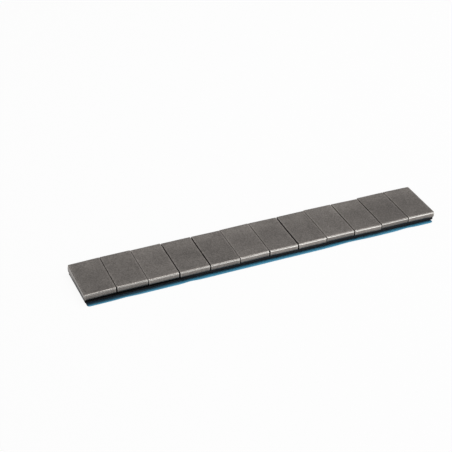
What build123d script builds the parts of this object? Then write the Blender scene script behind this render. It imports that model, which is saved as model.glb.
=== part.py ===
from build123d import *

import os
from math import cos, radians, sin, tan

# Stick-on wheel balance weight: twelve steel weights on one foam tape with a peel-off liner.
# Millimetres. X runs along the strip, Y across it and Z up. The origin is under the middle of the strip,
# on the underside of the liner that it lies on.

# Weights: pieces of rolled flat bar, each of about 5 g
WEIGHT_COUNT = 12
WEIGHT_LENGTH = 11.84  # along the strip, from cut to cut
WEIGHT_WIDTH = 21.2
WEIGHT_THICKNESS = 2.6
UPPER_EDGE_RADIUS = 0.65  # the bar's long edges on the side that shows
LOWER_EDGE_RADIUS = 1.0  # the bar's long edges on the side of the tape
CUT_EDGE_RADIUS = 0.12  # upper and lower edges of both cut ends
UPRIGHT_EDGE_RADIUS = 0.5  # the four upright edges

# Tape and liner
TAPE_THICKNESS = 1.3  # under the middle of a weight
TAPE_EDGE_INSET = 0.85  # from the weights' long edges
TAPE_LEFT_OVERHANG = 0.1  # past the outer cut end of the first weight, at the tape's underside
TAPE_RIGHT_SETBACK = 0.05  # from the outer cut end of the last weight
LINER_THICKNESS = 0.1
LINER_FRONT_OVERHANG = 1.35  # past the weights' front edge, to grip and peel by
LINER_BACK_OVERHANG = 1.0
LINER_LEFT_SETBACK = 0.4  # from the outer cut end of the first weight
LINER_RIGHT_SETBACK = 0.9  # from the outer cut end of the last weight
LINER_CORNER_RADIUS = 1.0
LINER_SKEW = 0.2  # degrees that the liner lies askew under the tape

# How each weight was cut and laid on the tape, in order along +X, repeated for a longer strip
CUT_ERRORS = (0.2, 0.15, 0.1, 0.0, 0.0, 0.1, -0.1, -0.05, 0.05, -0.15, -0.1, -0.2)  # + is cut too long
CLEAR_GAPS = (0.15, 0.08, 0.26, 0.27, 0.05, 0.08, 0.34, 0.05, 0.09, 0.17, 0.08)
SIDE_SHIFTS = (0.1, 0.3, 0.1, -0.1, -0.2, 0.0, -0.1, -0.1, 0.1, -0.2, 0.1, 0.0)
TILTS = (1.2, 0.0, 0.3, 0.0, -0.4, 0.5, -0.7, 0.0, -0.7, -1.2, 0.0, -1.0)  # degrees, + lifts the +X end


def laid(values, index):
    """The value for one weight or gap."""
    return values[index % len(values)]


lengths = [WEIGHT_LENGTH + laid(CUT_ERRORS, index) for index in range(WEIGHT_COUNT)]
tilts = [laid(TILTS, index) for index in range(WEIGHT_COUNT)]


def half_run(index):
    """Half of a tilted weight's underside, measured along X."""
    return lengths[index] / 2 * cos(radians(tilts[index]))


def lean(index):
    """How far a tilted weight's top leans past its underside, towards +X."""
    return -WEIGHT_THICKNESS * sin(radians(tilts[index]))


# Places along the strip: neighbours stand their clear gap apart where they come closest
centres = [0.0]
for index in range(1, WEIGHT_COUNT):
    before = half_run(index - 1) + max(0.0, lean(index - 1))
    after = half_run(index) + max(0.0, -lean(index))
    centres.append(centres[-1] + before + laid(CLEAR_GAPS, index - 1) + after)
middle = (centres[0] - half_run(0) + centres[-1] + half_run(WEIGHT_COUNT - 1)) / 2
centres = [centre - middle for centre in centres]

# Heights and edges shared by the pieces
seat_height = LINER_THICKNESS + TAPE_THICKNESS
left_end = centres[0] - half_run(0)
right_end = centres[-1] + half_run(WEIGHT_COUNT - 1)
tape_left = left_end - TAPE_LEFT_OVERHANG
tape_right = right_end - TAPE_RIGHT_SETBACK
tape_width = WEIGHT_WIDTH - 2 * TAPE_EDGE_INSET
liner_left = left_end + LINER_LEFT_SETBACK
liner_right = right_end - LINER_RIGHT_SETBACK


def seat(index, x):
    """Point on the tape's top face under one weight, as X and Z."""
    return (x, seat_height + (x - centres[index]) * tan(radians(tilts[index])))


os.makedirs("parts", exist_ok=True)

# Weights: the rolled bar's section along X, trimmed to a cut piece's outlines from the side and from above
for index in range(WEIGHT_COUNT):
    underside = Plane(
        origin=(centres[index], laid(SIDE_SHIFTS, index), seat_height),
        x_dir=Vector(1, 0, 0).rotate(Axis.Y, -tilts[index]),
        z_dir=Vector(0, 0, 1).rotate(Axis.Y, -tilts[index]),
    )
    middle_of_weight = underside.offset(WEIGHT_THICKNESS / 2).origin
    bar_section = Plane(middle_of_weight, x_dir=underside.y_dir, z_dir=underside.x_dir)
    side_outline = Plane(middle_of_weight, x_dir=underside.x_dir, z_dir=-underside.y_dir)
    top_outline = Plane(middle_of_weight, x_dir=underside.x_dir, z_dir=underside.z_dir)
    with BuildPart() as weight:
        with BuildSketch(bar_section):
            Rectangle(WEIGHT_WIDTH, WEIGHT_THICKNESS)
            fillet(vertices().group_by(Axis.Y)[-1], radius=UPPER_EDGE_RADIUS)
            fillet(vertices().group_by(Axis.Y)[0], radius=LOWER_EDGE_RADIUS)
        extrude(amount=lengths[index] / 2, both=True)
        with BuildSketch(side_outline):
            RectangleRounded(lengths[index], WEIGHT_THICKNESS, CUT_EDGE_RADIUS)
        extrude(amount=WEIGHT_WIDTH / 2, both=True, mode=Mode.INTERSECT)
        with BuildSketch(top_outline):
            RectangleRounded(lengths[index], WEIGHT_WIDTH, UPRIGHT_EDGE_RADIUS)
        extrude(amount=WEIGHT_THICKNESS / 2, both=True, mode=Mode.INTERSECT)
    name = f"weight_segment_{index + 1:02d}"
    weight.part.label = name
    export_step(weight.part, f"parts/{name}.step")

# Foam tape: its top follows the underside of each weight
seat_points = []
for index in range(WEIGHT_COUNT):
    near = max(tape_left, centres[index] - half_run(index))
    far = min(tape_right, centres[index] + half_run(index))
    seat_points += [seat(index, near), seat(index, far)]
with BuildPart() as tape:
    with BuildSketch(Plane.XZ):
        with BuildLine():
            Polyline(
                (tape_left, LINER_THICKNESS),
                *seat_points,
                (tape_right, LINER_THICKNESS),
                close=True,
            )
        make_face()
    extrude(amount=tape_width / 2, both=True)
tape.part.label = "foam_tape"
export_step(tape.part, "parts/foam_tape.step")

# Release liner: a flat film wider than the weights
liner_length = liner_right - liner_left
liner_width = WEIGHT_WIDTH + LINER_FRONT_OVERHANG + LINER_BACK_OVERHANG
liner_middle = ((liner_left + liner_right) / 2, (LINER_BACK_OVERHANG - LINER_FRONT_OVERHANG) / 2)
with BuildPart() as liner:
    with BuildSketch(Plane.XY):
        with Locations(Location((*liner_middle, 0), (0, 0, LINER_SKEW))):
            RectangleRounded(liner_length, liner_width, LINER_CORNER_RADIUS)
    extrude(amount=LINER_THICKNESS)
liner.part.label = "release_liner"
export_step(liner.part, "parts/release_liner.step")
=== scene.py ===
"""Stick-on wheel balance weight: coated steel weights, foam tape, peel-off liner and a plain studio."""

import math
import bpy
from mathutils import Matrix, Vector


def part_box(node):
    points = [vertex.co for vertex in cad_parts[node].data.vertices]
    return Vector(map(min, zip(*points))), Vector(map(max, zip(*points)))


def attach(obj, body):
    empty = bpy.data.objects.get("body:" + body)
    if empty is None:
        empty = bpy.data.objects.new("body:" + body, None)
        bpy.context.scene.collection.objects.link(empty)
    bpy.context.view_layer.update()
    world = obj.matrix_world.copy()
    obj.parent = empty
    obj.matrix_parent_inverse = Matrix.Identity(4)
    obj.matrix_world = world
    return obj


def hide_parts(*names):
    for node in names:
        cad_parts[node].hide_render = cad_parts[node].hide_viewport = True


bl_info = {
    "name": "Stick-on Wheel Balance Weight",
    "version": (1, 0, 0),
    "blender": (4, 5, 0),
    "location": "View3D > Sidebar > Balance Weight",
    "description": "Dresses a strip of steel wheel balance weights on foam tape with a peel-off liner",
    "category": "Object",
}

import bpy
from mathutils import Matrix, Vector, noise

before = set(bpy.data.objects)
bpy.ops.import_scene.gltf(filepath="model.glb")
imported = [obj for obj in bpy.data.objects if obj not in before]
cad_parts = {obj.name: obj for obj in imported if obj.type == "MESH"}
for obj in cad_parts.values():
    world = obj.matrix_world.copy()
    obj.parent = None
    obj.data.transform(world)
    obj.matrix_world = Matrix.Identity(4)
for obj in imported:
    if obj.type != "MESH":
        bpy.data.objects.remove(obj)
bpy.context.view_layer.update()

MM = 0.001
ROOT_BODY = "root"
WEIGHT_NODES = sorted(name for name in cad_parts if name.startswith("weight_segment_"))
TAPE_NODE = "foam_tape"
LINER_NODE = "release_liner"


def node_size(name):
    """Length of a solid's box along X, Y and Z."""
    low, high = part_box(name)
    return high - low


# The weights are cut from one bar, and those that lie level show its true section in their boxes
WEIGHT_SIZES = [node_size(name) for name in WEIGHT_NODES]
WEIGHT_WIDTH = min(size.y for size in WEIGHT_SIZES)
WEIGHT_THICKNESS = min(size.z for size in WEIGHT_SIZES)
LINER_THICKNESS = node_size(LINER_NODE).z


class WeightSettings(bpy.types.PropertyGroup):
    """Shape and coat of the steel weights."""

    upper_radius: bpy.props.FloatProperty(
        name="Upper Edge Radius",
        description="Rounding of the bar's long edges on the side that shows",
        default=0.65 * MM,
        unit="LENGTH",
        precision=5,
    )
    lower_radius: bpy.props.FloatProperty(
        name="Lower Edge Radius",
        description="Rounding of the bar's long edges on the side of the tape",
        default=1.0 * MM,
        unit="LENGTH",
        precision=5,
    )
    upright_radius: bpy.props.FloatProperty(
        name="Upright Edge Radius",
        description="Rounding of the four upright edges",
        default=0.3 * MM,
        unit="LENGTH",
        precision=5,
    )
    cut_radius: bpy.props.FloatProperty(
        name="Cut Edge Radius",
        description="Rounding of the upper and lower edges of the cut ends",
        default=0.12 * MM,
        unit="LENGTH",
        precision=5,
    )
    end_slant: bpy.props.FloatProperty(
        name="End Slant",
        description="How far the foot of the first weight's outer end stands out from a slanted cut",
        default=0.35 * MM,
        unit="LENGTH",
        precision=5,
    )
    waviness: bpy.props.FloatProperty(
        name="Waviness",
        description="Height of the slow unevenness that rolling and coating leave",
        default=0.03 * MM,
        unit="LENGTH",
        precision=6,
    )
    coat_colour: bpy.props.FloatVectorProperty(
        name="Coat Colour",
        description="Reflectance of the grey coat",
        subtype="COLOR",
        size=4,
        min=0.0,
        max=1.0,
        default=(0.25, 0.229, 0.213, 1.0),
    )
    # Worn edge colour, which also paints the highlight along the upper long edges
    wear_highlight_colour: bpy.props.FloatVectorProperty(
        name="Worn Edge And Highlight Colour",
        description="Reflectance where handling has rubbed the coat thin",
        subtype="COLOR",
        size=4,
        min=0.0,
        max=1.0,
        default=(0.55, 0.535, 0.507, 1.0),
    )
    coat_metallic: bpy.props.FloatProperty(
        name="Coat Metallic",
        description="How metallic the coat looks",
        subtype="FACTOR",
        min=0.0,
        max=1.0,
        default=0.85,
    )


class TapeSettings(bpy.types.PropertyGroup):
    """Shape and finish of the foam tape."""

    wall_roughness: bpy.props.FloatProperty(
        name="Cut Wall Roughness",
        description="How far the slit foam walls wander in and out",
        default=0.06 * MM,
        unit="LENGTH",
        precision=6,
    )
    wall_bulge: bpy.props.FloatProperty(
        name="Wall Bulge",
        description="How far the pressed foam swells out at mid height",
        default=0.06 * MM,
        unit="LENGTH",
        precision=6,
    )
    end_slant: bpy.props.FloatProperty(
        name="End Slant",
        description="How far the left end was cut askew, in at the front corner",
        default=0.35 * MM,
        unit="LENGTH",
        precision=5,
    )
    foam_colour: bpy.props.FloatVectorProperty(
        name="Foam Colour",
        description="Colour of the black foam",
        subtype="COLOR",
        size=4,
        min=0.0,
        max=1.0,
        default=(0.012, 0.012, 0.014, 1.0),
    )


class LinerSettings(bpy.types.PropertyGroup):
    """Shape and finish of the peel-off liner."""

    skew: bpy.props.FloatProperty(
        name="Skew",
        description="Angle that the liner lies askew under the tape",
        default=math.radians(0.2),
        subtype="ANGLE",
    )
    corner_radius: bpy.props.FloatProperty(
        name="Corner Radius",
        description="Rounding of the liner's corners",
        default=1.0 * MM,
        unit="LENGTH",
        precision=5,
    )
    edge_lift: bpy.props.FloatProperty(
        name="Edge Lift",
        description="How high the free edge lifts at its largest ripple",
        default=0.32 * MM,
        unit="LENGTH",
        precision=5,
    )
    # Painted shade: the film beside the tape is coloured dark in place of the shade under the weights
    shaded_film_colour: bpy.props.FloatVectorProperty(
        name="Shaded Film Colour",
        description="Colour of the film beside the tape, whose black adhesive has crept over it",
        subtype="COLOR",
        size=4,
        min=0.0,
        max=1.0,
        default=(0.028, 0.07, 0.108, 1.0),
    )
    # The film's own blue, at its free edge out of the painted shade
    free_edge_colour: bpy.props.FloatVectorProperty(
        name="Free Edge Colour",
        description="Colour of the clean film at its free edge",
        subtype="COLOR",
        size=4,
        min=0.0,
        max=1.0,
        default=(0.09, 0.385, 0.59, 1.0),
    )


class StudioSettings(bpy.types.PropertyGroup):
    """Floor, light and camera."""

    floor_colour: bpy.props.FloatVectorProperty(
        name="Floor Colour",
        description="Colour of the pale floor",
        subtype="COLOR",
        size=4,
        min=0.0,
        max=1.0,
        default=(0.9, 0.9, 0.9, 1.0),
    )
    sky_level: bpy.props.FloatProperty(
        name="Sky Level",
        description="Brightness of the even grey surroundings",
        min=0.0,
        default=0.18,
    )
    top_power: bpy.props.FloatProperty(
        name="Top Light Power",
        description="Power of the large soft box above the strip",
        min=0.0,
        default=4.4,
        unit="POWER",
    )
    front_power: bpy.props.FloatProperty(
        name="Front Light Power",
        description="Power of the small soft box in front",
        min=0.0,
        default=1.7,
        unit="POWER",
    )
    camera_azimuth: bpy.props.FloatProperty(
        name="Camera Azimuth",
        description="Direction of the camera round the strip, 0 looks along +Y",
        default=math.radians(-22.626),
        subtype="ANGLE",
    )
    camera_elevation: bpy.props.FloatProperty(
        name="Camera Elevation",
        description="Angle of the camera above the floor",
        default=math.radians(33.407),
        subtype="ANGLE",
    )
    camera_place: bpy.props.FloatVectorProperty(
        name="Camera Place",
        description="Where the camera stands",
        size=3,
        default=(-155.31 * MM, -341.65 * MM, 256.55 * MM),
        subtype="TRANSLATION",
        unit="LENGTH",
    )
    camera_lens: bpy.props.FloatProperty(
        name="Camera Lens",
        description="Focal length on a 36 mm frame",
        default=94.122,
        unit="CAMERA",
    )


class NodeBench:
    """Adds and links nodes in one tree.

    A value is another node's socket, or a plain number, vector or colour.
    """

    def __init__(self, tree):
        self.tree = tree

    def feed(self, socket, value):
        if isinstance(value, bpy.types.NodeSocket):
            self.tree.links.new(value, socket)
        else:
            socket.default_value = value

    def add(self, kind, inputs=None, **settings):
        node = self.tree.nodes.new(kind)
        for key, value in settings.items():
            setattr(node, key, value)
        for key, value in (inputs or {}).items():
            self.feed(node.inputs[key], value)
        return node

    def math(self, operation, *values, clamp=False):
        node = self.add("ShaderNodeMath", operation=operation, use_clamp=clamp)
        for socket, value in zip(node.inputs, values):
            self.feed(socket, value)
        return node.outputs[0]

    def plus(self, first, second):
        return self.math("ADD", first, second)

    def minus(self, first, second):
        return self.math("SUBTRACT", first, second)

    def times(self, *values):
        product = values[0]
        for value in values[1:]:
            product = self.math("MULTIPLY", product, value)
        return product

    def between(self, share, first, second):
        """A value that goes from the first to the second as the share goes from 0 to 1."""
        return self.math("MULTIPLY_ADD", share, self.minus(second, first), first)

    def ramp(self, value, start, end, low=0.0, high=1.0):
        """Smooth step of a value from low to high, as it goes from start to end."""
        inputs = {"Value": value, "From Min": start, "From Max": end, "To Min": low, "To Max": high}
        return self.add("ShaderNodeMapRange", inputs, interpolation_type="SMOOTHSTEP").outputs[0]

    def mix_colour(self, share, first, second, blend="MIX"):
        node = self.add("ShaderNodeMix", data_type="RGBA", blend_type=blend)
        colour_inputs = [socket for socket in node.inputs if socket.type == "RGBA"]
        self.feed(node.inputs[0], share)
        self.feed(colour_inputs[0], first)
        self.feed(colour_inputs[1], second)
        return next(socket for socket in node.outputs if socket.type == "RGBA")

    def noise(self, place, scale, detail=2.0, roughness=0.5):
        inputs = {"Vector": place, "Scale": scale, "Detail": detail, "Roughness": roughness}
        return self.add("ShaderNodeTexNoise", inputs).outputs[0]


def new_group(name, kind, inputs, outputs):
    """A node group with named sockets, and the bench that fills it."""
    tree = bpy.data.node_groups.new(name, kind)
    for label, socket_type in inputs:
        tree.interface.new_socket(label, in_out="INPUT", socket_type=socket_type)
    for label, socket_type in outputs:
        tree.interface.new_socket(label, in_out="OUTPUT", socket_type=socket_type)
    bench = NodeBench(tree)
    return tree, bench, bench.add("NodeGroupInput").outputs, bench.add("NodeGroupOutput").inputs


FLOAT = "NodeSocketFloat"
VECTOR = "NodeSocketVector"
GEOMETRY = "NodeSocketGeometry"
MATERIAL = "NodeSocketMaterial"


# Scales of the coarse grain and of the specks, and the spans of noise that the masks take
COARSE_SCALE = 0.22
GRAIN_MASK = (0.3, 0.7)
SPECK_SCALE = 9.0
SMUDGE_MASK = (0.35, 0.65)
SPECK_MASK = (0.66, 0.74)


def grain_group():
    """Fine grain of two sizes: a mask round one half and a height for bump."""
    name = "Fine Grain"
    if name in bpy.data.node_groups:
        return bpy.data.node_groups[name]
    inputs = (("Place", VECTOR), ("Grain Size", FLOAT), ("Coarse Share", FLOAT))
    outputs = (("Mask", FLOAT), ("Height", FLOAT))
    tree, bench, given, made = new_group(name, "ShaderNodeTree", inputs, outputs)
    scale = bench.math("DIVIDE", 1.0, given["Grain Size"])
    fine = bench.noise(given["Place"], scale, detail=3.0, roughness=0.6)
    coarse = bench.noise(given["Place"], bench.times(scale, COARSE_SCALE), detail=2.0)
    fine_part = bench.times(fine, bench.minus(1.0, given["Coarse Share"]))
    height = bench.math("MULTIPLY_ADD", coarse, given["Coarse Share"], fine_part)
    bench.feed(made["Height"], height)
    bench.feed(made["Mask"], bench.ramp(height, *GRAIN_MASK))
    return tree


def handling_group():
    """Slow smudges and sparse rubbed specks, from being handled and packed."""
    name = "Handling"
    if name in bpy.data.node_groups:
        return bpy.data.node_groups[name]
    inputs = (("Place", VECTOR), ("Smudge Size", FLOAT))
    outputs = (("Smudge", FLOAT), ("Specks", FLOAT))
    tree, bench, given, made = new_group(name, "ShaderNodeTree", inputs, outputs)
    scale = bench.math("DIVIDE", 1.0, given["Smudge Size"])
    smudge = bench.noise(given["Place"], scale, detail=4.0, roughness=0.6)
    specks = bench.noise(given["Place"], bench.times(scale, SPECK_SCALE), detail=2.0)
    bench.feed(made["Smudge"], bench.ramp(smudge, *SMUDGE_MASK))
    bench.feed(made["Specks"], bench.ramp(specks, *SPECK_MASK))
    return tree


def place_group(bench, group, **inputs):
    """A group node with its values set, in a material."""
    node = bench.add("ShaderNodeGroup", node_tree=group)
    for label, value in inputs.items():
        bench.feed(node.inputs[label.replace("_", " ").title()], value)
    return node.outputs


def new_material(name):
    """An empty material: its bench, its surface shader and Object coordinates."""
    material = bpy.data.materials.new(name)
    material.use_nodes = True
    material.node_tree.nodes.clear()
    bench = NodeBench(material.node_tree)
    shader = bench.add("ShaderNodeBsdfPrincipled")
    output = bench.add("ShaderNodeOutputMaterial")
    bench.feed(output.inputs["Surface"], shader.outputs[0])
    place = bench.add("ShaderNodeTexCoord").outputs["Object"]
    return material, bench, shader, place


def bump(bench, shader, height, distance, strength):
    """Bump of the shader's surface from a height."""
    node = bench.add("ShaderNodeBump", {"Height": height, "Distance": distance, "Strength": strength})
    bench.feed(shader.inputs["Normal"], node.outputs[0])


def attribute(bench, name):
    """A value that the mesh carries at its points."""
    return bench.add("ShaderNodeAttribute", attribute_name=name).outputs["Fac"]


def shade(colour, factor):
    """A colour made darker or lighter."""
    return tuple(channel * factor for channel in colour[:3]) + (1.0,)


# Coat: each ramp is its start and its end, and then its values there if they aren't 0 and 1
FLAKE_TONES = (0.7, 1.3)
# Ramps of the edge wear, whose brighter colour also paints the highlight
WEAR_HIGHLIGHT_BREAKS = (0.3, 0.6, 0.75, 1.0)
WEAR_HIGHLIGHT_SPAN = (0.2, 0.7)
SPECK_RUB = 0.25
# Painted glow along the cut ends and towards the back edge
END_GLOW = (0.84, 0.97, 0.0, 0.3)
BACK_GLOW = (0.0, 1.2, 0.0, 0.4)
# Painted shade, darker low on the sides
LOW_SIDE_SHADE = (0.3, 0.85, 1.0, 0.62)
COAT_ROUGHNESS = 0.4
SMUDGE_ROUGHNESS = 0.06
WEAR_HIGHLIGHT_ROUGHNESS = -0.08
COAT_BUMP = 0.5
WEAR_HIGHLIGHT_BUMP = -0.3
COAT_BUMP_HEIGHT = 0.03 * MM


def coated_steel(settings):
    """Satin grey coat with metal flake, worn lighter along its edges where a highlight is also painted,
    with painted glow and painted shade.
    """
    material, bench, shader, place = new_material("coated_steel")
    grain = place_group(bench, grain_group(), place=place, grain_size=0.42 * MM, coarse_share=0.1)
    marks = place_group(bench, handling_group(), place=place, smudge_size=6.0 * MM)
    coat = tuple(settings.coat_colour)
    dark_coat, light_coat = [shade(coat, tone) for tone in FLAKE_TONES]
    colour = bench.mix_colour(grain["Mask"], dark_coat, light_coat)

    # Edges are worn to brighter, smoother metal, whose brighter colour also paints the highlight along
    # them; specks are rubbed brighter too
    broken = bench.ramp(grain["Height"], *WEAR_HIGHLIGHT_BREAKS)
    wear_highlight = bench.ramp(bench.times(attribute(bench, "edge_rub"), broken), *WEAR_HIGHLIGHT_SPAN)
    wear_highlight_and_specks = bench.math("MAXIMUM", wear_highlight, bench.times(marks["Specks"], SPECK_RUB), clamp=True)
    colour = bench.mix_colour(wear_highlight_and_specks, colour, tuple(settings.wear_highlight_colour))

    # Painted glow: the coat is painted lighter along the cut ends and towards the back edge
    end_glow = bench.ramp(attribute(bench, "along_share"), *END_GLOW)
    back_glow = bench.ramp(attribute(bench, "across_share"), *BACK_GLOW)
    tone = bench.plus(attribute(bench, "tone"), bench.plus(end_glow, back_glow))

    # Painted shade darkens the joints and the cut faces, and the sides are painted darker low down
    tone = bench.times(tone, bench.minus(1.0, attribute(bench, "grime")))
    # Painted shade: the sides are darker low down
    tone = bench.times(tone, bench.ramp(attribute(bench, "depth_share"), *LOW_SIDE_SHADE))
    tone_colour = bench.add("ShaderNodeCombineColor", {"Red": tone, "Green": tone, "Blue": tone}).outputs[0]
    bench.feed(shader.inputs["Base Color"], bench.mix_colour(1.0, colour, tone_colour, "MULTIPLY"))
    roughness = bench.math("MULTIPLY_ADD", marks["Smudge"], SMUDGE_ROUGHNESS, COAT_ROUGHNESS)
    roughness = bench.math("MULTIPLY_ADD", wear_highlight, WEAR_HIGHLIGHT_ROUGHNESS, roughness)
    bench.feed(shader.inputs["Roughness"], roughness)
    shader.inputs["Metallic"].default_value = settings.coat_metallic
    strength = bench.math("MULTIPLY_ADD", wear_highlight, WEAR_HIGHLIGHT_BUMP, COAT_BUMP)
    bump(bench, shader, grain["Height"], COAT_BUMP_HEIGHT, strength)
    return material


# Foam: its cells, the dust on it, and where shade is painted on it
CELL_SIZE = 0.2 * MM
CELL_WALLS = (0.35, 0.75)
CELL_WALL_TONE = 2.6
DUST_COLOUR = (0.06, 0.06, 0.062, 1.0)
DUST_SHARE = 0.3
# Painted shade under the weights: how high, where along and how dark
UNDER_WEIGHT_SHADE_HEIGHT = (0.45 * MM, 0.8 * MM)
UNDER_WEIGHT_SHADE_PLACE = (-26.0 * MM, -38.0 * MM)
UNDER_WEIGHT_SHADE_TONE = 0.3
FOAM_GLOSS = (0.0, 1.0, 0.3, 0.08)
FOAM_ROUGHNESS = 0.8
FOAM_GRAIN_ROUGHNESS = 0.15
FOAM_GRAIN_BUMP = 0.4
FOAM_BUMP = (0.08 * MM, 0.7)


def black_foam(settings):
    """Matt black foam, slit so that its cells show, with painted shade high up under the weights."""
    material, bench, shader, place = new_material("black_foam")
    grain = place_group(bench, grain_group(), place=place, grain_size=0.12 * MM, coarse_share=0.3)
    marks = place_group(bench, handling_group(), place=place, smudge_size=3.0 * MM)
    cells = bench.add("ShaderNodeTexVoronoi", {"Vector": place, "Scale": 1 / CELL_SIZE}).outputs["Distance"]
    foam = tuple(settings.foam_colour)
    colour = bench.mix_colour(bench.ramp(cells, *CELL_WALLS), foam, shade(foam, CELL_WALL_TONE))
    colour = bench.mix_colour(bench.times(marks["Specks"], DUST_SHARE), colour, DUST_COLOUR)

    # Painted shade: the wall is painted blacker high up under the weights, towards the left end, and shines
    # less there
    spot = bench.add("ShaderNodeSeparateXYZ", {"Vector": place}).outputs
    shade_under_weights = bench.times(bench.ramp(spot[2], *UNDER_WEIGHT_SHADE_HEIGHT), bench.ramp(spot[0], *UNDER_WEIGHT_SHADE_PLACE))
    colour = bench.mix_colour(shade_under_weights, colour, shade(foam, UNDER_WEIGHT_SHADE_TONE))
    bench.feed(shader.inputs["Base Color"], colour)
    bench.feed(shader.inputs["Specular IOR Level"], bench.ramp(shade_under_weights, *FOAM_GLOSS))
    roughness = bench.math("MULTIPLY_ADD", grain["Mask"], FOAM_GRAIN_ROUGHNESS, FOAM_ROUGHNESS)
    bench.feed(shader.inputs["Roughness"], roughness)
    bump(bench, shader, bench.math("MULTIPLY_ADD", grain["Height"], FOAM_GRAIN_BUMP, cells), *FOAM_BUMP)
    return material


# Film: how far the painted shade beside the tape reaches along the strip, and streaks
FILM_SHADE_LEFT = (-64.0 * MM, -20.0 * MM, 0.45, 0.0)
FILM_SHADE_RIGHT = (50.0 * MM, 72.0 * MM, 0.0, 0.15)
FILM_SHADE_SMUDGE = 0.12
LIT_SPAN = (-0.18, 0.65)
STREAK_COLOUR = (0.16, 0.36, 0.5, 1.0)
STREAK_SHARE = 0.12
FILM_ROUGHNESS = 0.34
FILM_GRAIN_ROUGHNESS = 0.08
FILM_BUMP = (0.02 * MM, 0.25)


def blue_film(settings):
    """Satin blue film, painted dark beside the tape as shade, most of all at its ends."""
    material, bench, shader, place = new_material("blue_film")
    grain = place_group(bench, grain_group(), place=place, grain_size=0.5 * MM, coarse_share=0.6)
    marks = place_group(bench, handling_group(), place=place, smudge_size=9.0 * MM)
    along = bench.add("ShaderNodeSeparateXYZ", {"Vector": place}).outputs[0]
    # Painted shade on the film beside the tape, reaching further at the ends
    film_shade_left = bench.ramp(along, *FILM_SHADE_LEFT)
    film_shade_right = bench.ramp(along, *FILM_SHADE_RIGHT)
    film_shade = bench.plus(film_shade_left, film_shade_right)
    film_shade = bench.math("MULTIPLY_ADD", marks["Smudge"], FILM_SHADE_SMUDGE, film_shade)
    out_of_shade = bench.minus(attribute(bench, "free_edge"), film_shade)
    free_edge = bench.ramp(out_of_shade, *LIT_SPAN)
    film = bench.mix_colour(free_edge, tuple(settings.shaded_film_colour), tuple(settings.free_edge_colour))
    streaked = bench.mix_colour(bench.times(marks["Smudge"], STREAK_SHARE), film, STREAK_COLOUR)
    bench.feed(shader.inputs["Base Color"], streaked)
    roughness = bench.math("MULTIPLY_ADD", grain["Mask"], FILM_GRAIN_ROUGHNESS, FILM_ROUGHNESS)
    bench.feed(shader.inputs["Roughness"], roughness)
    bump(bench, shader, grain["Height"], *FILM_BUMP)
    return material


# Vertices of the weight's starting block, half of them in the rounded edges
BLOCK_VERTICES = (33, 33, 17)

# How dark the painted shade is on the left end, in each joint and on the right end, in order along the
# strip
JOINT_SHADE = (0.22, 0.5, 0.4, 0.9, 0.9, 0.5, 0.2, 1.0, 0.0, 0.0, 0.5, 0.4, 0.22)

# How dark the painted shade is where each joint opens at the long sides, in the same order, and low on the
# cut ends
SIDE_JOINT_SHADE = (0.0, 0.9, 0.0, 0.3, 0.0, 0.8, 0.7, 0.0, 0.6, 0.0, 0.6, 0.3, 0.0)
LOW_END_SHADE = 0.95

# How light each weight's coat came out on its top, and how light its sides are painted, which also paints
# how much light each front face catches; in order along the strip
TOP_TONES = (1.02, 1.02, 1.1, 0.96, 0.92, 1.02, 0.94, 0.92, 1.04, 0.96, 0.81, 0.92)
SIDE_TONES_AND_LIGHT = (0.82, 0.84, 1.0, 0.99, 0.94, 1.06, 1.2, 1.19, 0.94, 1.11, 0.86, 1.08)

# Where edge, wear and painted highlight, and painted shade begin and are full: shares of the way round an
# edge, or along, across or down
ONTO_EDGE = (0.2, 0.8)
PAST_EDGE = (0.8, 0.2)
WEAR_HIGHLIGHT_FROM_TOP = (0.4, 1.0)
WEAR_HIGHLIGHT_FROM_SIDE = (0.05, 0.55)
LOW_END_SHADE_DOWN = (0.4, 0.7)
LOW_END_SHADE_ACROSS = (0.7, 0.2)
CUT_FACE = (0.98, 0.995)
SIDE_JOINT_SHADE_ALONG = (0.949, 0.97)

# The slanted left end: how far along it reaches, and how much of it the middle has and the back adds
SLANT_ALONG = (0.5, 1.0)
SLANT_IN_MIDDLE = 0.6
SLANT_TO_BACK = 0.4

# Size of the slow unevenness
WAVE_LENGTH = 5.0 * MM


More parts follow.
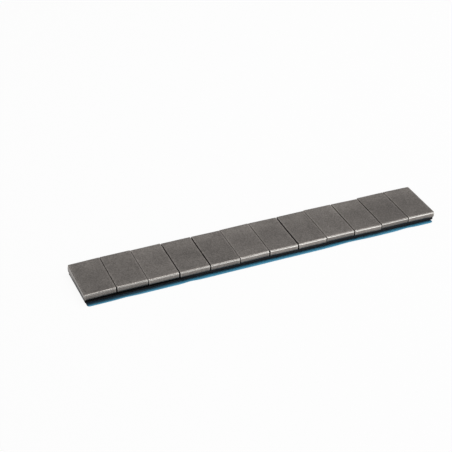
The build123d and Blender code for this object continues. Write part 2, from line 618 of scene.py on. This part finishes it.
def rolled_weight_tree():
    """Geometry nodes for one weight: a block with its long edges rolled round and its cut ends eased."""
    inputs = (
        ("Length", FLOAT),
        ("Width", FLOAT),
        ("Thickness", FLOAT),
        ("Upper Radius", FLOAT),
        ("Lower Radius", FLOAT),
        ("Upright Radius", FLOAT),
        ("Cut Radius", FLOAT),
        ("Left Slant", FLOAT),
        ("Waviness", FLOAT),
        ("Seed", FLOAT),
        ("Top Tone", FLOAT),
        ("Side Tone And Light", FLOAT),
        ("Left Joint Shade", FLOAT),
        ("Right Joint Shade", FLOAT),
        ("Left Side Shade", FLOAT),
        ("Right Side Shade", FLOAT),
        ("Centre", VECTOR),
        ("Turn", VECTOR),
        ("Material", MATERIAL),
    )
    outputs = (("Geometry", GEOMETRY),)
    tree, bench, given, made = new_group("Rolled Weight", "GeometryNodeTree", inputs, outputs)
    counts = dict(zip(("Vertices X", "Vertices Y", "Vertices Z"), BLOCK_VERTICES))
    block = bench.add("GeometryNodeMeshCube", {"Size": (2.0, 2.0, 2.0), **counts}).outputs["Mesh"]
    spot = bench.add("ShaderNodeSeparateXYZ", {"Vector": bench.add("GeometryNodeInputPosition").outputs[0]})
    sign = [bench.math("SIGN", axis) for axis in spot.outputs]
    doubled = [bench.times(bench.math("ABSOLUTE", axis), 2.0) for axis in spot.outputs]
    core = [bench.math("MINIMUM", reach, 1.0) for reach in doubled]
    edge = [bench.math("MAXIMUM", bench.minus(reach, 1.0), 0.0) for reach in doubled]

    # Along the strip: the arc of the upright edges, which narrows the section towards the cut end
    turn = bench.times(edge[0], math.pi / 2)
    half_length = bench.times(given["Length"], 0.5)
    flat_x = bench.minus(half_length, given["Upright Radius"])
    arc_x = bench.times(given["Upright Radius"], bench.math("SINE", turn))
    reach_x = bench.math("MULTIPLY_ADD", core[0], flat_x, arc_x)
    arc_y = bench.times(given["Upright Radius"], bench.math("COSINE", turn))
    narrower = bench.minus(given["Upright Radius"], arc_y)

    # The eased upper and lower edges of the cut end, which thin the section
    cut_start = bench.minus(half_length, given["Cut Radius"])
    into_cut = bench.math("MAXIMUM", bench.minus(reach_x, cut_start), 0.0)
    into_share = bench.math("MINIMUM", bench.math("DIVIDE", into_cut, given["Cut Radius"]), 1.0)
    left_over = bench.math("SQRT", bench.minus(1.0, bench.math("POWER", into_share, 2.0)))
    thinner = bench.times(given["Cut Radius"], bench.minus(1.0, left_over))

    # Across the strip: the rolled section
    upper_side = bench.math("GREATER_THAN", spot.outputs[2], 0.0)
    extra = bench.minus(given["Upper Radius"], given["Lower Radius"])
    rolled = bench.math("MULTIPLY_ADD", upper_side, extra, given["Lower Radius"])
    corner = bench.math("MAXIMUM", edge[1], edge[2])
    squares = [bench.math("POWER", edge[axis], 2.0) for axis in (1, 2)]
    span = bench.math("SQRT", bench.plus(*squares))
    band = bench.math("DIVIDE", bench.times(rolled, corner), span)
    reach = [reach_x]
    for axis, label, drawn_in in ((1, "Width", narrower), (2, "Thickness", thinner)):
        half = bench.math("MULTIPLY_ADD", given[label], 0.5, bench.times(drawn_in, -1.0))
        flat = bench.minus(half, rolled)
        rounded = bench.times(band, edge[axis])
        reach.append(bench.math("MULTIPLY_ADD", core[axis], flat, rounded))
    signed = [bench.times(side, size) for side, size in zip(sign, reach)]

    # Shares of the way along, across and down the weight, and round its rolled edge to the side
    along_share = bench.math("DIVIDE", reach_x, half_length)
    across_share = bench.times(sign[1], core[1])
    depth_share = bench.minus(0.5, bench.math("DIVIDE", signed[2], given["Thickness"]))
    onto_edge = bench.ramp(edge[1], *ONTO_EDGE)
    past_edge = bench.ramp(edge[2], *PAST_EDGE)
    side_share = bench.times(bench.plus(onto_edge, past_edge), onto_edge, 0.5)

    # A left end that was cut at a slant, so that its foot stands out, most of all at the back
    right_end = bench.math("GREATER_THAN", spot.outputs[0], 0.0)
    to_left_end = bench.times(bench.minus(1.0, right_end), bench.ramp(along_share, *SLANT_ALONG))
    to_back = bench.math("MULTIPLY_ADD", across_share, SLANT_TO_BACK, SLANT_IN_MIDDLE)
    foot = bench.times(depth_share, to_left_end, to_back, given["Left Slant"])
    signed[0] = bench.minus(signed[0], foot)
    shape = bench.add("ShaderNodeCombineXYZ", dict(zip("XYZ", signed))).outputs[0]

    # Wear and a painted highlight on the upper long edges, and painted shade in the joints and low on the
    # cut ends
    wear_highlight_ridge = bench.times(bench.ramp(edge[1], *WEAR_HIGHLIGHT_FROM_TOP), bench.ramp(edge[2], *WEAR_HIGHLIGHT_FROM_SIDE), upper_side)

    joint_shade = bench.between(right_end, given["Left Joint Shade"], given["Right Joint Shade"])
    joint_shade = bench.times(joint_shade, bench.minus(1.0, onto_edge))
    low_down = bench.ramp(depth_share, *LOW_END_SHADE_DOWN)
    low_end_shade = bench.times(low_down, bench.ramp(across_share, *LOW_END_SHADE_ACROSS), LOW_END_SHADE)
    end_shade = bench.math("MAXIMUM", joint_shade, low_end_shade)
    end_shade = bench.times(end_shade, bench.ramp(along_share, *CUT_FACE))
    side_joint_shade = bench.between(right_end, given["Left Side Shade"], given["Right Side Shade"])
    side_joint_shade = bench.times(side_joint_shade, onto_edge, bench.ramp(along_share, *SIDE_JOINT_SHADE_ALONG))
    marked = block
    for name, value in (
        ("edge_rub", wear_highlight_ridge),
        ("along_share", along_share),
        ("across_share", across_share),
        ("depth_share", depth_share),
        ("grime", bench.math("MAXIMUM", end_shade, side_joint_shade)),
        ("tone", bench.between(side_share, given["Top Tone"], given["Side Tone And Light"])),
    ):
        inputs = {"Geometry": marked, "Name": name, "Value": value}
        store = bench.add("GeometryNodeStoreNamedAttribute", inputs, data_type="FLOAT", domain="POINT")
        marked = store.outputs[0]
    shaped = bench.add("GeometryNodeSetPosition", {"Geometry": marked, "Position": shape}).outputs[0]

    # Slow unevenness, then into place
    inputs = {
        "Vector": bench.add("GeometryNodeInputPosition").outputs[0],
        "W": given["Seed"],
        "Scale": 1 / WAVE_LENGTH,
    }
    ripple = bench.add("ShaderNodeTexNoise", inputs, noise_dimensions="4D").outputs[0]
    swell = bench.times(bench.minus(ripple, 0.5), given["Waviness"])
    push = bench.add("ShaderNodeVectorMath", operation="SCALE")
    bench.feed(push.inputs[0], bench.add("GeometryNodeInputNormal").outputs[0])
    bench.feed(push.inputs["Scale"], swell)
    weight = shaped
    for kind, inputs in (
        ("GeometryNodeSetPosition", {"Offset": push.outputs[0]}),
        ("GeometryNodeTransform", {"Translation": given["Centre"], "Rotation": given["Turn"]}),
        ("GeometryNodeSetShadeSmooth", {}),
        ("GeometryNodeRealizeInstances", {}),
        ("GeometryNodeSetMaterial", {"Material": given["Material"]}),
    ):
        weight = bench.add(kind, {"Geometry": weight, **inputs}).outputs[0]
    bench.feed(made["Geometry"], weight)
    return tree


def new_object(name, contents):
    """An object in the scene's collection, from a mesh, a lamp or a lens."""
    piece = bpy.data.objects.new(name, contents)
    bpy.context.scene.collection.objects.link(piece)
    return piece


def bake_tree(name, tree, values):
    """A plain mesh object from a geometry nodes tree and its named inputs."""
    piece = new_object(name, bpy.data.meshes.new(name))
    modifier = piece.modifiers.new("Shape", "NODES")
    modifier.node_group = tree
    for item in tree.interface.items_tree:
        if item.in_out == "INPUT" and item.name in values:
            modifier[item.identifier] = values[item.name]
    graph = bpy.context.evaluated_depsgraph_get()
    baked = bpy.data.meshes.new_from_object(piece.evaluated_get(graph), depsgraph=graph)
    piece.modifiers.remove(modifier)
    piece.data = baked
    return piece


def settle(piece, node):
    """The piece stands for a solid of the frame and moves with it."""
    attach(piece, ROOT_BODY)
    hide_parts(node)


# Least upward part of a facet's normal for it to count as part of a weight's top
UPWARD = 0.9


def tilt_of(node):
    """How far a weight is turned about Y, from the largest upward facet of its solid."""
    upward = [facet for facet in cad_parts[node].data.polygons if facet.normal.z > UPWARD]
    widest = max(upward, key=lambda facet: facet.area)
    return math.atan2(widest.normal.x, widest.normal.z)


def cut_length(node, tilt, cut_radius):
    """A weight's length from cut to cut, from the box of its tilted solid."""
    lean = (WEIGHT_THICKNESS - 2 * cut_radius) * abs(math.sin(tilt))
    return (node_size(node).x - 2 * cut_radius - lean) / math.cos(tilt) + 2 * cut_radius


class BALANCE_OT_weights(bpy.types.Operator):
    """Make the row of steel weights"""

    bl_idname = "balance_weight.weights"
    bl_label = "Steel Weights"

    def execute(self, context):
        settings = context.scene.weight_settings
        tree = rolled_weight_tree()
        material = coated_steel(settings)
        for index, node in enumerate(WEIGHT_NODES):
            low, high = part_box(node)
            tilt = tilt_of(node)
            values = {
                "Length": cut_length(node, tilt, settings.cut_radius),
                "Width": WEIGHT_WIDTH,
                "Thickness": WEIGHT_THICKNESS,
                "Upper Radius": settings.upper_radius,
                "Lower Radius": settings.lower_radius,
                "Upright Radius": settings.upright_radius,
                "Cut Radius": settings.cut_radius,
                "Left Slant": settings.end_slant if index == 0 else 0.0,
                "Waviness": settings.waviness,
                "Seed": float(index),
                "Top Tone": TOP_TONES[index % len(TOP_TONES)],
                # The side tone also paints the light on the weight's front face
                "Side Tone And Light": SIDE_TONES_AND_LIGHT[index % len(SIDE_TONES_AND_LIGHT)],
                # Painted shade in the joints and where they open at the sides
                "Left Joint Shade": JOINT_SHADE[index % len(JOINT_SHADE)],
                "Right Joint Shade": JOINT_SHADE[(index + 1) % len(JOINT_SHADE)],
                "Left Side Shade": SIDE_JOINT_SHADE[index % len(SIDE_JOINT_SHADE)],
                "Right Side Shade": SIDE_JOINT_SHADE[(index + 1) % len(SIDE_JOINT_SHADE)],
                "Centre": (low + high) / 2,
                "Turn": Vector((0.0, tilt, 0.0)),
                "Material": material,
            }
            piece = bake_tree(node.replace("segment", "coated"), tree, values)
            settle(piece, node)
        return {"FINISHED"}


# Corners higher than this share of the tape's height belong to its top
TOP_SHARE = 0.25

# Steps of the tape's mesh, and how far along it the askew left end reaches
TAPE_STEP = 0.3 * MM
WALL_STEPS = 6
SLANT_REACH = 6.0 * MM

# The slit wall's grain, in two sizes
WALL_GRAIN = 0.7 * MM
FINE_GRAIN = 0.25 * MM
FINE_GRAIN_SHARE = 0.6


def tape_top():
    """The tape's top as (x, z) points along the strip, read from its solid."""
    low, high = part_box(TAPE_NODE)
    level = low.z + TOP_SHARE * (high.z - low.z)
    corners = [vertex.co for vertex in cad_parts[TAPE_NODE].data.vertices]
    return sorted({(round(corner.x, 7), round(corner.z, 7)) for corner in corners if corner.z > level})


def height_at(points, x):
    """Height of a line of (x, z) points at one place. Past its ends the line goes on level."""
    if x <= points[0][0]:
        return points[0][1]
    for (x0, z0), (x1, z1) in zip(points, points[1:]):
        if x0 <= x <= x1:
            return z0 + (z1 - z0) * (x - x0) / (x1 - x0)
    return points[-1][1]


class BALANCE_OT_foam_tape(bpy.types.Operator):
    """Make the black foam tape with its slit walls"""

    bl_idname = "balance_weight.foam_tape"
    bl_label = "Foam Tape"

    def execute(self, context):
        settings = context.scene.tape_settings
        low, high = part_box(TAPE_NODE)
        top = tape_top()
        count = round((high.x - low.x) / TAPE_STEP)
        places = {low.x + (high.x - low.x) * step / count for step in range(count + 1)}
        places = sorted(places | {x for x, z in top})
        vertices = []
        for x in places:
            near_end = max(0.0, 1 - (x - low.x) / SLANT_REACH)
            lean = max(0.0, top[0][0] - x)
            for side, wall in ((-1, low.y), (1, high.y)):
                askew = settings.end_slant * near_end if side < 0 else 0.0
                roof = height_at(top, x + askew)
                for step in range(WALL_STEPS + 1):
                    share = step / WALL_STEPS
                    spot = Vector((x + askew + lean * share, wall, low.z + (roof - low.z) * share))
                    grain = noise.noise(spot / WALL_GRAIN)
                    grain += FINE_GRAIN_SHARE * noise.noise(spot / FINE_GRAIN)
                    swell = settings.wall_bulge * math.sin(math.pi * share)
                    swell += settings.wall_roughness * grain
                    vertices.append((spot.x, spot.y + side * swell, spot.z))
        ring = 2 * (WALL_STEPS + 1)
        last = WALL_STEPS + 1
        faces = []
        for index in range(len(places) - 1):
            here = index * ring
            there = here + ring
            for step in range(WALL_STEPS):
                front = (here + step, there + step, there + step + 1, here + step + 1)
                faces.append(front)
                faces.append(tuple(corner + last for corner in reversed(front)))
            faces.append((here + WALL_STEPS, there + WALL_STEPS, there + ring - 1, here + ring - 1))
            faces.append((here + last, there + last, there, here))
        left = list(range(WALL_STEPS + 1)) + list(range(ring - 1, WALL_STEPS, -1))
        right = [(len(places) - 1) * ring + corner for corner in reversed(left)]
        faces += [tuple(left), tuple(right)]
        mesh = bpy.data.meshes.new("slit_foam_tape")
        mesh.from_pydata(vertices, [], faces)
        mesh.materials.append(black_foam(settings))
        piece = new_object("slit_foam_tape", mesh)
        settle(piece, TAPE_NODE)
        return {"FINISHED"}


# Ripples of the free edge: where along the strip, how wide and how high as a share of the edge lift
RIPPLES = (
    (-57.0 * MM, 3.5 * MM, 0.55),
    (-32.0 * MM, 2.5 * MM, 0.8),
    (-14.0 * MM, 6.0 * MM, 0.1),
    (4.0 * MM, 5.0 * MM, 0.15),
    (34.0 * MM, 6.5 * MM, 1.0),
    (59.0 * MM, 3.5 * MM, 0.9),
)
FILM_STEP = 0.5 * MM
FREE_STEPS = 10
STUCK_STEPS = 6

# How steeply the film rises towards its free edge
LIFT_POWER = 1.7


def steps_between(first, last, count):
    """Even places from the first up to the last, which is left out."""
    return [first + (last - first) * step / count for step in range(count)]


def ripple_height(x):
    """Lift of the free edge at one place along the strip, as a share of the largest."""
    return sum(high * math.exp(-(((x - place) / wide) ** 2)) for place, wide, high in RIPPLES)


class BALANCE_OT_release_liner(bpy.types.Operator):
    """Make the blue film with its rippled free edge"""

    bl_idname = "balance_weight.release_liner"
    bl_label = "Release Liner"

    def execute(self, context):
        settings = context.scene.liner_settings
        low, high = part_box(LINER_NODE)
        tape_low, tape_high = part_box(TAPE_NODE)
        middle = (low + high) / 2
        radius = settings.corner_radius
        cos_skew = math.cos(settings.skew)
        sin_skew = math.sin(settings.skew)
        box_x = high.x - low.x - 2 * radius
        box_y = high.y - low.y - 2 * radius
        spread = cos_skew**2 - sin_skew**2
        length = (box_x * cos_skew - box_y * sin_skew) / spread + 2 * radius
        width = (box_y * cos_skew - box_x * sin_skew) / spread + 2 * radius

        # Rows across the film, from the back edge to the free front edge
        stuck_front = tape_low.y - middle.y
        stuck_back = tape_high.y - middle.y
        rows = steps_between(width / 2, stuck_back, FREE_STEPS)
        rows += steps_between(stuck_back, stuck_front, STUCK_STEPS)
        rows += steps_between(stuck_front, -width / 2, FREE_STEPS)
        rows.append(-width / 2)
        columns = round(length / FILM_STEP)
        vertices = []
        free_shares = []
        for across in rows:
            into_corner = max(0.0, abs(across) - (width / 2 - radius))
            half = length / 2 - radius + math.sqrt(max(0.0, radius**2 - into_corner**2))
            free_front = (stuck_front - across) / (width / 2 + stuck_front)
            free_back = (across - stuck_back) / (width / 2 - stuck_back)
            free = max(0.0, free_front, free_back)
            for column in range(columns + 1):
                along = half * (2 * column / columns - 1)
                x = middle.x + along * cos_skew - across * sin_skew
                y = middle.y + along * sin_skew + across * cos_skew
                lift = settings.edge_lift * ripple_height(x) * free**LIFT_POWER
                vertices.append((x, y, low.z + lift))
                free_shares.append(free)
        faces = []
        for row in range(len(rows) - 1):
            for column in range(columns):
                here = row * (columns + 1) + column
                there = here + columns + 1
                faces.append((here, there, there + 1, here + 1))
        mesh = bpy.data.meshes.new("peel_off_film")
        mesh.from_pydata(vertices, [], faces)
        shares = mesh.attributes.new("free_edge", "FLOAT", "POINT")
        shares.data.foreach_set("value", free_shares)
        mesh.materials.append(blue_film(settings))
        mesh.shade_smooth()
        piece = new_object("peel_off_film", mesh)
        thickness = piece.modifiers.new("Film Thickness", "SOLIDIFY")
        thickness.thickness = LINER_THICKNESS
        thickness.offset = 1.0
        settle(piece, LINER_NODE)
        return {"FINISHED"}


FLOOR_HALF = 4.0
FLOOR_DROP = 0.02 * MM
TOP_LIGHT_PLACE = (0.19, 0.06, 0.75)
TOP_LIGHT_SIDE = 0.6
FRONT_LIGHT_PLACE = (0.39, -0.6, 0.18)
FRONT_LIGHT_SIDE = 0.4
SHOWN_WHITE = 0.93
SENSOR_WIDTH = 36.0
NEAR_CLIP = 0.01


def pale_floor(settings):
    """Diffuse floor that looks white where it is seen or mirrored, and still takes the strip's shadow."""
    material = bpy.data.materials.new("pale_floor")
    material.use_nodes = True
    material.node_tree.nodes.clear()
    bench = NodeBench(material.node_tree)
    paper = bench.add("ShaderNodeBsdfDiffuse", {"Color": tuple(settings.floor_colour)}).outputs[0]
    white = bench.add("ShaderNodeEmission", {"Strength": 1.0}).outputs[0]
    path = bench.add("ShaderNodeLightPath").outputs
    seen = bench.plus(path["Is Camera Ray"], path["Is Glossy Ray"])
    seen = bench.math("ADD", seen, path["Is Transmission Ray"], clamp=True)
    shown = bench.times(seen, SHOWN_WHITE)
    mixed = bench.add("ShaderNodeMixShader", {0: shown, 1: paper, 2: white})
    output = bench.add("ShaderNodeOutputMaterial")
    bench.feed(output.inputs["Surface"], mixed.outputs[0])
    return material


def soft_box(name, place, side, power):
    """A square lamp that faces the strip."""
    lamp = bpy.data.lights.new(name, "AREA")
    lamp.shape = "SQUARE"
    lamp.size = side
    lamp.energy = power
    stand = new_object(name, lamp)
    stand.location = place
    stand.rotation_euler = (-Vector(place)).to_track_quat("-Z", "Y").to_euler()


class BALANCE_OT_studio(bpy.types.Operator):
    """Set up the floor, the soft light and the camera"""

    bl_idname = "balance_weight.studio"
    bl_label = "Studio"

    def execute(self, context):
        settings = context.scene.studio_settings
        scene = context.scene
        scene.view_settings.view_transform = "Standard"

        mesh = bpy.data.meshes.new("floor")
        sides = ((-1, -1), (1, -1), (1, 1), (-1, 1))
        corners = [(x * FLOOR_HALF, y * FLOOR_HALF, -FLOOR_DROP) for x, y in sides]
        mesh.from_pydata(corners, [], [(0, 1, 2, 3)])
        mesh.materials.append(pale_floor(settings))
        new_object("floor", mesh)

        world = bpy.data.worlds.new("even_surroundings")
        world.use_nodes = True
        background = world.node_tree.nodes["Background"]
        background.inputs["Color"].default_value = (1.0, 1.0, 1.0, 1.0)
        background.inputs["Strength"].default_value = settings.sky_level
        scene.world = world

        soft_box("top_light", TOP_LIGHT_PLACE, TOP_LIGHT_SIDE, settings.top_power)
        soft_box("front_light", FRONT_LIGHT_PLACE, FRONT_LIGHT_SIDE, settings.front_power)

        lens = bpy.data.cameras.new("camera")
        lens.lens = settings.camera_lens
        lens.sensor_width = SENSOR_WIDTH
        lens.clip_start = NEAR_CLIP
        camera = new_object("camera", lens)
        tip = math.pi / 2 - settings.camera_elevation
        turn = Matrix.Rotation(settings.camera_azimuth, 4, "Z") @ Matrix.Rotation(tip, 4, "X")
        camera.matrix_world = Matrix.Translation(settings.camera_place) @ turn
        scene.camera = camera
        return {"FINISHED"}


class BALANCE_PT_panel(bpy.types.Panel):
    """Lists the steps that make the strip"""

    bl_idname = "BALANCE_PT_panel"
    bl_label = "Balance Weight"
    bl_space_type = "VIEW_3D"
    bl_region_type = "UI"
    bl_category = "Balance Weight"

    def draw(self, context):
        steps = (
            (BALANCE_OT_weights, "weight_settings"),
            (BALANCE_OT_foam_tape, "tape_settings"),
            (BALANCE_OT_release_liner, "liner_settings"),
            (BALANCE_OT_studio, "studio_settings"),
        )
        for operator, settings_name in steps:
            box = self.layout.box()
            settings = getattr(context.scene, settings_name)
            for name in settings.__annotations__:
                box.prop(settings, name)
            box.operator(operator.bl_idname)


CLASSES = (
    WeightSettings,
    TapeSettings,
    LinerSettings,
    StudioSettings,
    BALANCE_OT_weights,
    BALANCE_OT_foam_tape,
    BALANCE_OT_release_liner,
    BALANCE_OT_studio,
    BALANCE_PT_panel,
)


def register():
    for entry in CLASSES:
        bpy.utils.register_class(entry)
    bpy.types.Scene.weight_settings = bpy.props.PointerProperty(type=WeightSettings)
    bpy.types.Scene.tape_settings = bpy.props.PointerProperty(type=TapeSettings)
    bpy.types.Scene.liner_settings = bpy.props.PointerProperty(type=LinerSettings)
    bpy.types.Scene.studio_settings = bpy.props.PointerProperty(type=StudioSettings)


def unregister():
    del bpy.types.Scene.studio_settings
    del bpy.types.Scene.liner_settings
    del bpy.types.Scene.tape_settings
    del bpy.types.Scene.weight_settings
    for entry in reversed(CLASSES):
        bpy.utils.unregister_class(entry)


def main():
    register()
    bpy.ops.balance_weight.weights()
    bpy.ops.balance_weight.foam_tape()
    bpy.ops.balance_weight.release_liner()
    bpy.ops.balance_weight.studio()


if __name__ == "__main__":
    main()
